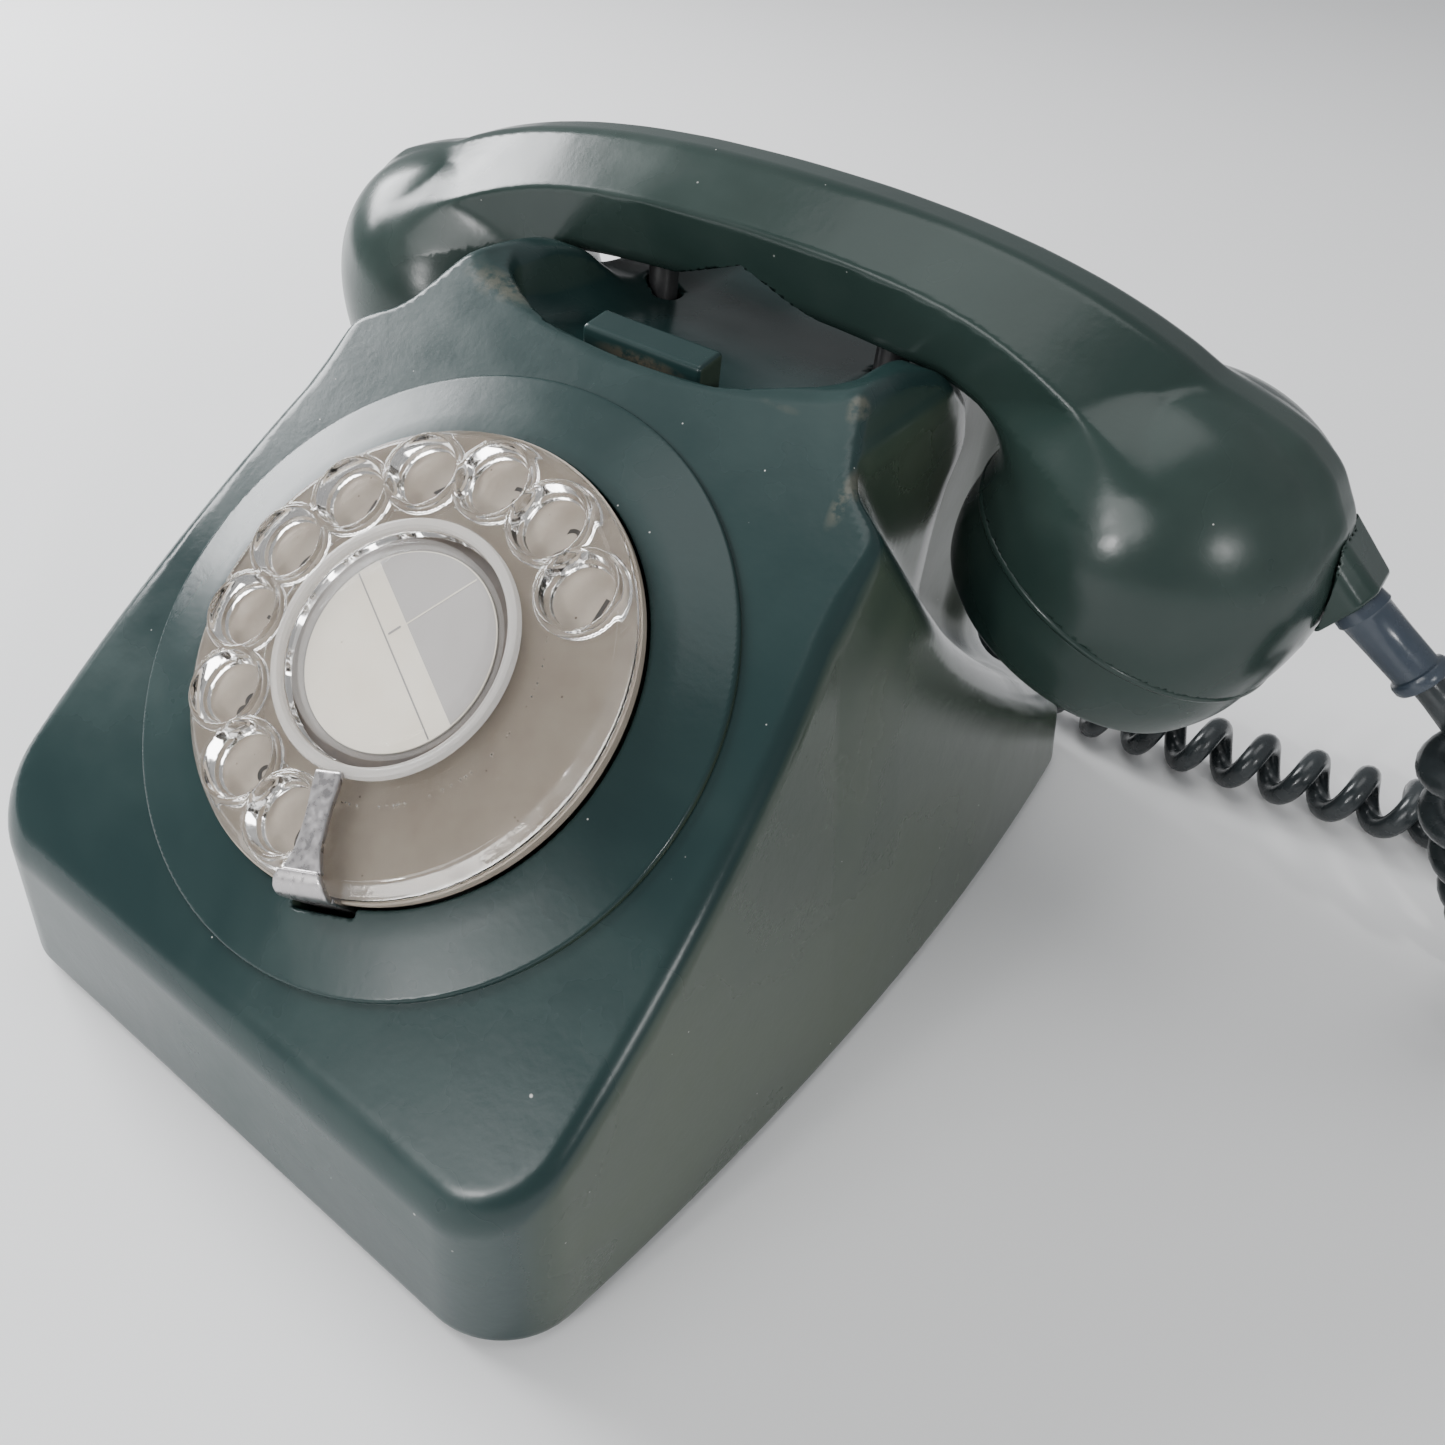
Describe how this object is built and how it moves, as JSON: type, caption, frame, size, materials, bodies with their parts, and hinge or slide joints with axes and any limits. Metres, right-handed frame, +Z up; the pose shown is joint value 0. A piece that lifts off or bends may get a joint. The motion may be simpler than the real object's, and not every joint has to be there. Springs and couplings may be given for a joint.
{
  "type": "rotary telephone",
  "caption": "Desk telephone with a sloping face, a clear finger-hole dial, a lift-off handset in a cradle and a curly handset cord.",
  "frame": {"origin": "centre of the footprint of the telephone without its cord, on the surface that the feet stand on", "axes": "+Z up, -Y the front with the dial, +X towards the mouthpiece and the cord"},
  "size_m": [0.283, 0.2256, 0.1277],
  "materials": {
    "case_green": "worn gloss, dark blue-green",
    "handset_green": "worn gloss, dark olive green",
    "clear_plastic": "clear, yellowed a little",
    "beige_plastic": "satin",
    "card": "matt, aged",
    "steel": "satin",
    "zinc_plate": "dull zinc plate",
    "brass": "satin",
    "copper_wire": "varnished wire",
    "capsule_metal": "satin",
    "board": "brown laminate",
    "black_plastic": "satin",
    "relief_plastic": "glossy flexible sleeve",
    "cord_sheath": "glossy sheath",
    "grommet_rubber": "satin",
    "foot_rubber": "matt"
  },
  "bodies": {
    "base": {"case_shell": "case_green", "base_plate": "zinc_plate", "case_screw_front": "steel", "case_screw_rear": "steel", "foot_front_left": "foot_rubber", "foot_front_right": "foot_rubber", "foot_rear_left": "foot_rubber", "foot_rear_right": "foot_rubber", "number_plate": "beige_plastic", "dial_frame": "zinc_plate", "spindle_bush": "brass", "return_spring": "steel", "pulse_springs": "brass", "finger_stop": "steel", "governor_drum": "brass", "gong_left": "brass", "gong_right": "brass", "gong_post_left": "zinc_plate", "gong_post_right": "zinc_plate", "gong_screw_left": "steel", "gong_screw_right": "steel", "bell_coil_left": "copper_wire", "bell_coil_right": "copper_wire", "bell_yoke": "zinc_plate", "bell_pivot_pin": "steel", "circuit_board": "board", "board_spacer": "black_plastic", "induction_coil": "copper_wire", "capacitor": "capsule_metal", "terminal_block": "black_plastic", "switch_pin": "steel", "switch_bracket": "zinc_plate", "switch_contacts": "brass", "button_contacts": "black_plastic", "handset_cord_coil": "cord_sheath", "base_cord_tail": "cord_sheath", "handset_cord_gland": "grommet_rubber", "line_cord_gland": "grommet_rubber"},
    "dial": {"finger_plate": "clear_plastic", "hub_ring": "steel", "label_card": "card", "label_cover": "clear_plastic", "dial_spindle": "steel", "main_gear": "brass"},
    "governor": {"governor_pinion": "brass", "governor_weight_a": "brass", "governor_weight_b": "brass"},
    "handset": {"handset_body": "handset_green", "ear_cap": "handset_green", "mouth_cap": "handset_green", "receiver_capsule": "capsule_metal", "transmitter_capsule": "capsule_metal", "cord_entry_boss": "handset_green", "handset_strain_relief": "relief_plastic", "handset_cord_tail": "cord_sheath"},
    "plungers": {"cradle_plunger_left": "beige_plastic", "cradle_plunger_right": "beige_plastic"},
    "switch_lever": {"switch_lever": "zinc_plate"},
    "press_button": {"press_button": "case_green"},
    "hammer": {"bell_hammer": "steel"}
  },
  "joints": [
    {"name": "dial_turn", "type": "hinge", "parent": "base", "child": "dial", "pos_m": [0, -0.04614, 0.07009], "axis": [0, 0.6018, -0.7986], "range_deg": [0, 334], "stiffness_Nm_per_rad": 0.008, "springref_deg": -85.94},
    {"name": "governor_spin", "type": "hinge", "parent": "base", "child": "governor", "pos_m": [0.01769, -0.03625, 0.07755], "axis": [0, 0.6018, -0.7986], "range_deg": [-1008, 6]},
    {"name": "handset_lift", "type": "slide", "parent": "base", "child": "handset", "axis": [0, 0, 1], "range_m": [0, 0.12]},
    {"name": "plunger_rise", "type": "slide", "parent": "base", "child": "plungers", "axis": [0, 0, 1], "range_m": [0, 0.0045]},
    {"name": "switch_swing", "type": "hinge", "parent": "base", "child": "switch_lever", "pos_m": [0, 0.066, 0.08], "axis": [-1, 0, 0], "range_deg": [0, 11.5]},
    {"name": "button_press", "type": "slide", "parent": "base", "child": "press_button", "axis": [0, 0, -1], "range_m": [0, 0.0025], "stiffness_N_per_m": 250, "springref_m": -0.002},
    {"name": "hammer_swing", "type": "hinge", "parent": "base", "child": "hammer", "pos_m": [0, 0.0338, 0.015], "axis": [0, 0, 1], "range_deg": [-5.5, 5.5], "stiffness_Nm_per_rad": 0.01}
  ],
  "couplings": [
    {"joint": "governor_spin", "follows": "dial_turn", "ratio": -3},
    {"joint": "plunger_rise", "follows": "handset_lift", "ratio": 0.0375},
    {"joint": "switch_swing", "follows": "handset_lift", "rad_per_m": 1.6726}
  ]
}
